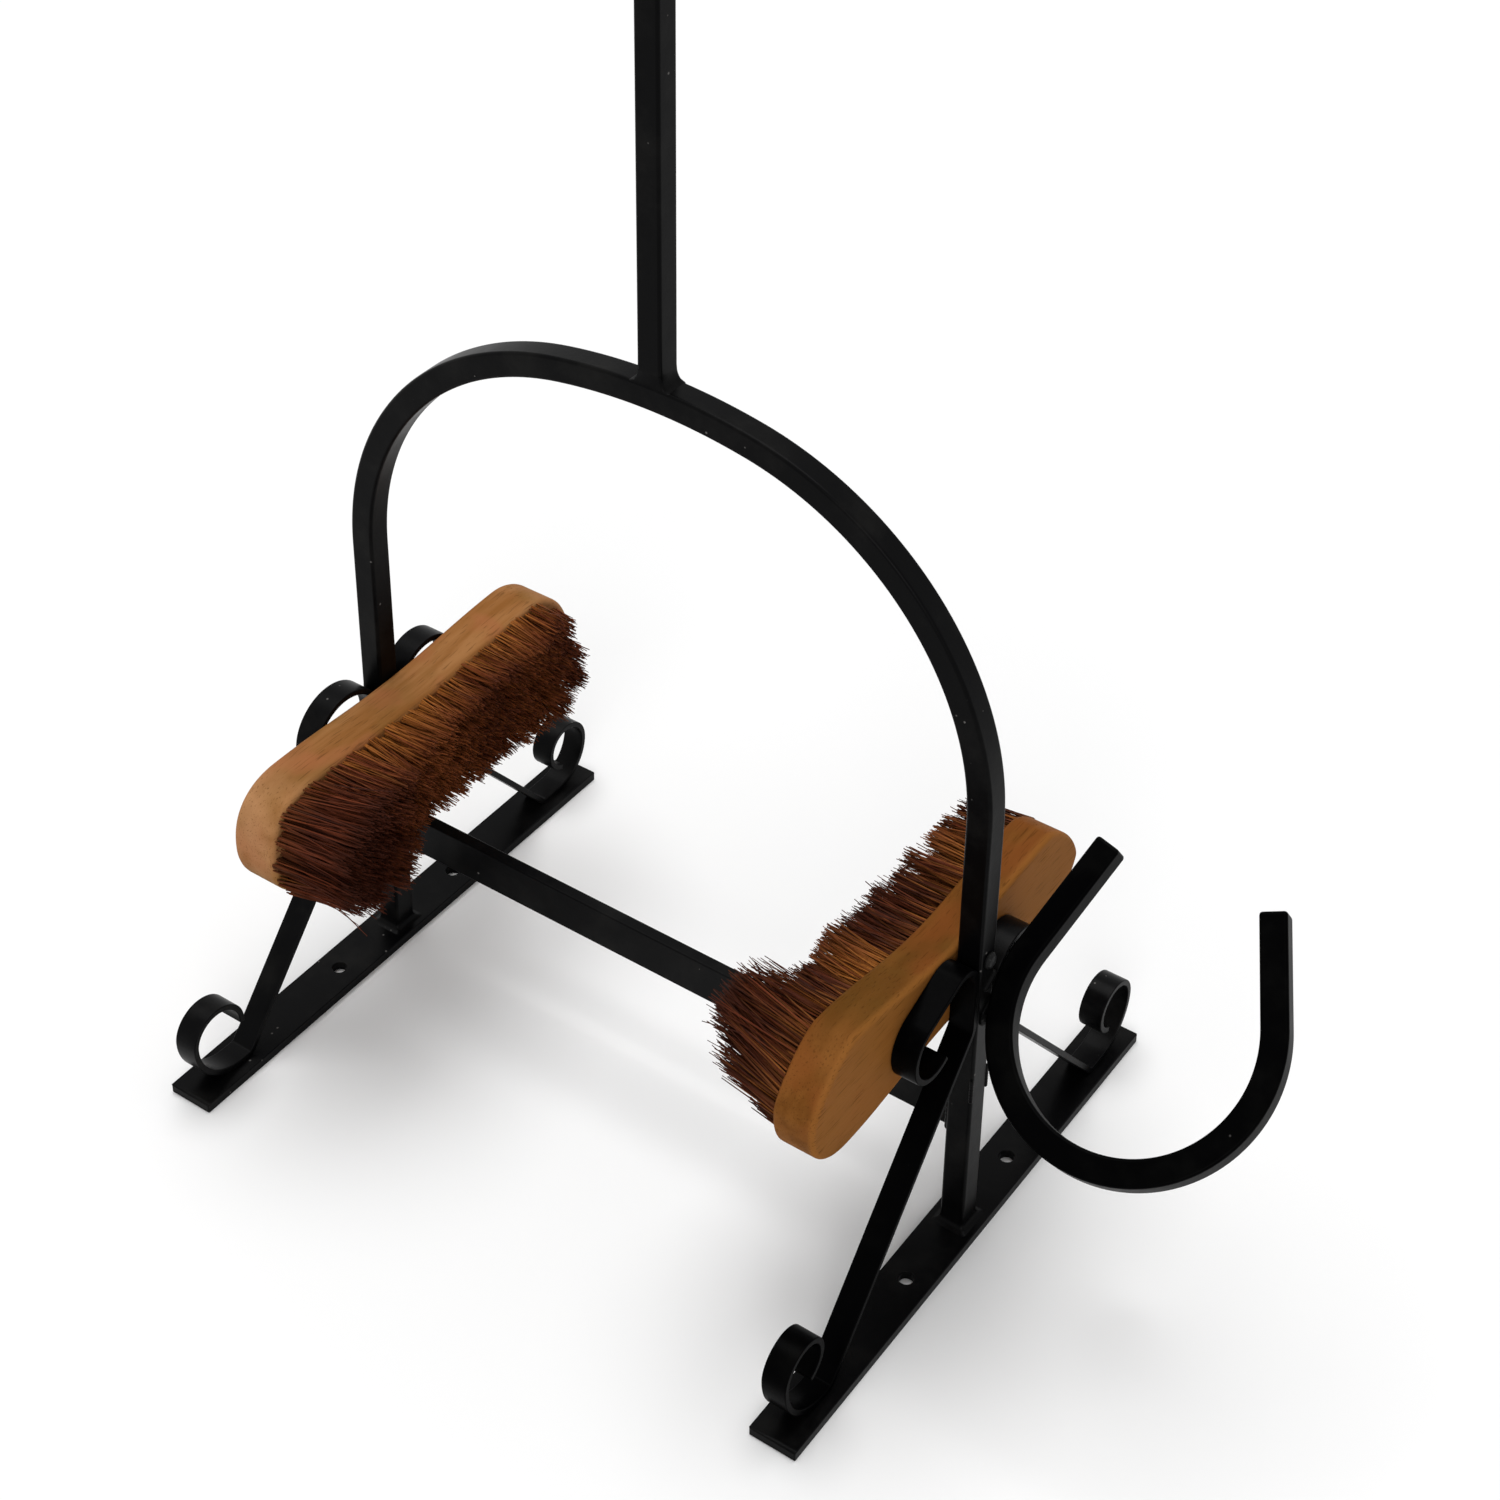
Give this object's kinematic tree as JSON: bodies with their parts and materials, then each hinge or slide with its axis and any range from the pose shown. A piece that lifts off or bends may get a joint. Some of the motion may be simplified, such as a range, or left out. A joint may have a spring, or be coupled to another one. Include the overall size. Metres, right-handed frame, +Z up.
{
  "type": "boot scraper",
  "caption": "Freestanding boot scraper: arched iron frame on flat feet with a scraper bar, facing brushes, scroll braces, a boot jack at the side and a tall T handle.",
  "frame": {"origin": "centre of the bounding box at ground level; the arch stands 63.5 mm to the -X side of it, because the boot jack stands out on the +X side", "axes": "+Z up along the handle, +X from the left foot to the right foot with the boot jack, +Y from the front ends of the feet to their back ends, towards which the jack opens"},
  "size_m": [0.491, 0.3, 0.9],
  "materials": {
    "black_paint": "gloss black paint over wrought iron bar",
    "brush_wood": "sanded light brown hardwood, satin",
    "bristle": "stiff reddish brown natural fibre",
    "black_screw": "black painted steel screw"
  },
  "bodies": {
    "root": {"left_foot": "black_paint", "right_foot": "black_paint", "arch_frame": "black_paint", "handle_stem": "black_paint", "handle_crossbar": "black_paint", "scraper_bar": "black_paint", "front_left_brace": "black_paint", "front_right_brace": "black_paint", "back_left_brace": "black_paint", "back_right_brace": "black_paint", "boot_jack": "black_paint", "left_brush_block": "brush_wood", "right_brush_block": "brush_wood", "left_bristles": "bristle", "right_bristles": "bristle", "left_brush_screw_lower": "black_screw", "left_brush_screw_upper": "black_screw", "right_brush_screw_lower": "black_screw", "right_brush_screw_upper": "black_screw"}
  },
  "joints": []
}
